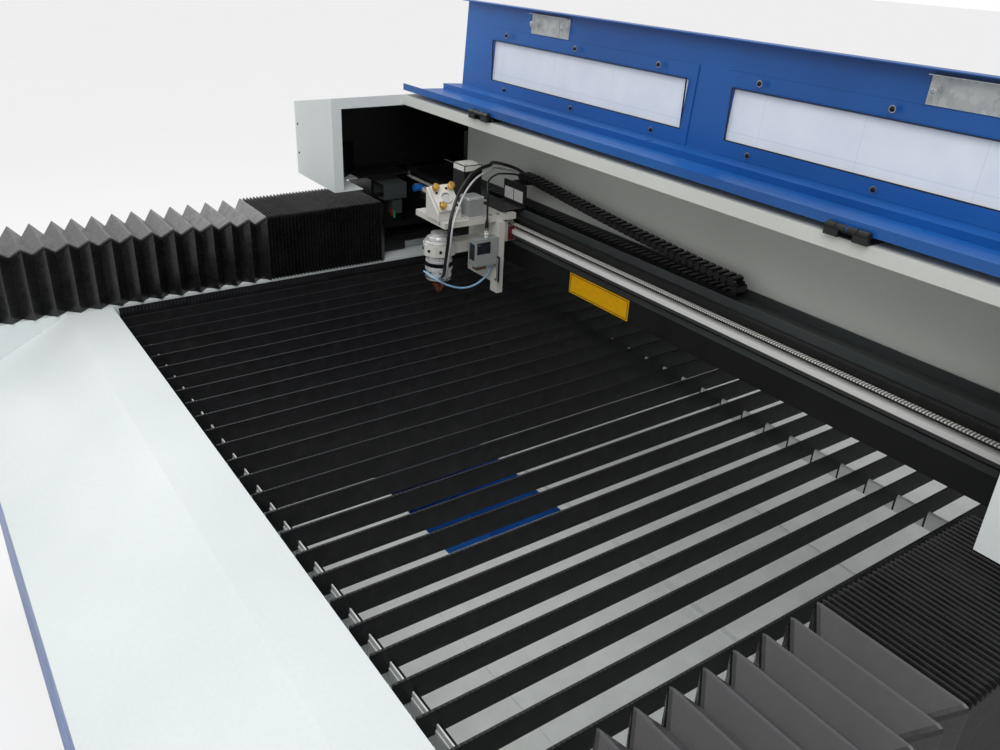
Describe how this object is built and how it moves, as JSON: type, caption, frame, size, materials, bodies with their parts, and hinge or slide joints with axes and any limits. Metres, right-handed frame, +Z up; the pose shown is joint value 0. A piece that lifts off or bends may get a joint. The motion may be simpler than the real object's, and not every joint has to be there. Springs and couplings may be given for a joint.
{
  "type": "laser cutting machine",
  "caption": "Flatbed laser cutter: a travelling gantry with a cutting head and a hinged lid over a bed of knife blades, with bellows over its rails.",
  "frame": {"origin": "on the floor under the middle of the bed", "axes": "+X along the gantry to the operator's right, +Y from the front of the bed to its rear, +Z up"},
  "size_m": [1.745, 3.4, 1.326],
  "materials": {
    "frame_blue": "satin powder coat, blue",
    "cover_white": "fine-texture powder coat, pale grey-white",
    "gantry_black": "satin black paint",
    "blade_black": "black blades",
    "tray_grey": "light grey powder coat",
    "rail_steel": "ground steel",
    "bellows_cloth": "black coated cloth with a soft gloss",
    "belt": "pale polyurethane",
    "nylon_black": "black nylon",
    "tube_glass": "clear glass",
    "zinc": "zinc-plated sheet",
    "aluminium_parts": "machined and anodised",
    "window_film": "clear sheet under a white film",
    "grey_parts": "grey painted",
    "line_grey": "pale flexible tube",
    "tube_blue": "blue flexible tube",
    "nozzle_brass": "turned brass"
  },
  "bodies": {
    "bed": {"base_frame": "frame_blue", "front_panel": "frame_blue", "rear_panel": "frame_blue", "left_panel": "frame_blue", "right_panel": "frame_blue", "left_side_cover": "cover_white", "right_side_cover": "cover_white", "front_shroud": "cover_white", "rear_shroud": "cover_white", "blade_table": "blade_black", "scrap_tray": "tray_grey", "left_y_rail": "rail_steel", "right_y_rail": "rail_steel", "left_front_bellows": "bellows_cloth", "right_front_bellows": "bellows_cloth", "left_rear_bellows": "bellows_cloth", "right_rear_bellows": "bellows_cloth"},
    "drawer": {"scrap_drawer": "frame_blue"},
    "gantry": {"gantry_beam": "gantry_black", "left_gantry_foot": "gantry_black", "right_gantry_foot": "gantry_black", "gear_motor": "gantry_black", "x_rail": "rail_steel", "x_belt": "belt", "x_motor": "gantry_black", "chain_tray": "tray_grey", "drag_chain": "nylon_black", "housing_shell": "cover_white", "left_end_box": "cover_white", "right_end_box": "cover_white", "laser_tube": "tube_glass", "tube_cradle": "zinc", "first_mirror": "aluminium_parts", "second_mirror": "aluminium_parts", "left_hinge": "gantry_black", "right_hinge": "gantry_black"},
    "drive_shaft": {"cross_shaft": "rail_steel"},
    "drive_pulley": {"x_drive_pulley": "aluminium_parts"},
    "idler_pulley": {"x_idler_pulley": "aluminium_parts"},
    "lid": {"lid_shell": "frame_blue", "left_window_frame": "frame_blue", "right_window_frame": "frame_blue", "left_window_pane": "window_film", "right_window_pane": "window_film", "left_handle": "zinc", "right_handle": "zinc"},
    "carriage": {"carriage_plate": "aluminium_parts", "x_bearing_block": "zinc", "chain_bracket": "gantry_black", "z_motor": "gantry_black", "mirror_air_block": "grey_parts", "head_mirror": "aluminium_parts", "height_sensor_box": "grey_parts", "head_hose": "nylon_black", "air_line": "line_grey", "signal_cable": "nylon_black", "loop_tube": "tube_blue"},
    "head": {"tube_clamp": "aluminium_parts", "lens_tube": "aluminium_parts", "nozzle": "nozzle_brass"}
  },
  "joints": [
    {"name": "gantry_y", "type": "slide", "parent": "bed", "child": "gantry", "axis": [0, 1, 0], "range_m": [-0.55, 1.95], "deforming": ["left_front_bellows", "right_front_bellows", "left_rear_bellows", "right_rear_bellows"]},
    {"name": "shaft_spin", "type": "hinge", "parent": "gantry", "child": "drive_shaft", "pos_m": [0, -0.5, 0.7986], "axis": [1, 0, 0], "continuous": true},
    {"name": "carriage_x", "type": "slide", "parent": "gantry", "child": "carriage", "axis": [1, 0, 0], "range_m": [-0.27, 1.03], "deforming": ["drag_chain"]},
    {"name": "drive_pulley_spin", "type": "hinge", "parent": "gantry", "child": "drive_pulley", "pos_m": [0.735, -0.6845, 0.9285], "axis": [0, 1, 0], "continuous": true},
    {"name": "idler_pulley_spin", "type": "hinge", "parent": "gantry", "child": "idler_pulley", "pos_m": [-0.8, -0.6845, 0.9285], "axis": [0, 1, 0], "continuous": true},
    {"name": "head_z", "type": "slide", "parent": "carriage", "child": "head", "axis": [0, 0, 1], "range_m": [-0.035, 0.01], "deforming": ["head_hose", "air_line", "loop_tube"]},
    {"name": "lid_hinge", "type": "hinge", "parent": "gantry", "child": "lid", "pos_m": [0, -0.773, 1.146], "axis": [1, 0, 0], "range_deg": [0, 180]},
    {"name": "drawer_slide", "type": "slide", "parent": "bed", "child": "drawer", "axis": [-1, 0, 0], "range_m": [0, 0.6]}
  ],
  "couplings": [
    {"joint": "shaft_spin", "follows": "gantry_y", "rad_per_m": -27.778},
    {"joint": "drive_pulley_spin", "follows": "carriage_x", "rad_per_m": -113.64},
    {"joint": "idler_pulley_spin", "follows": "carriage_x", "rad_per_m": -113.64}
  ]
}
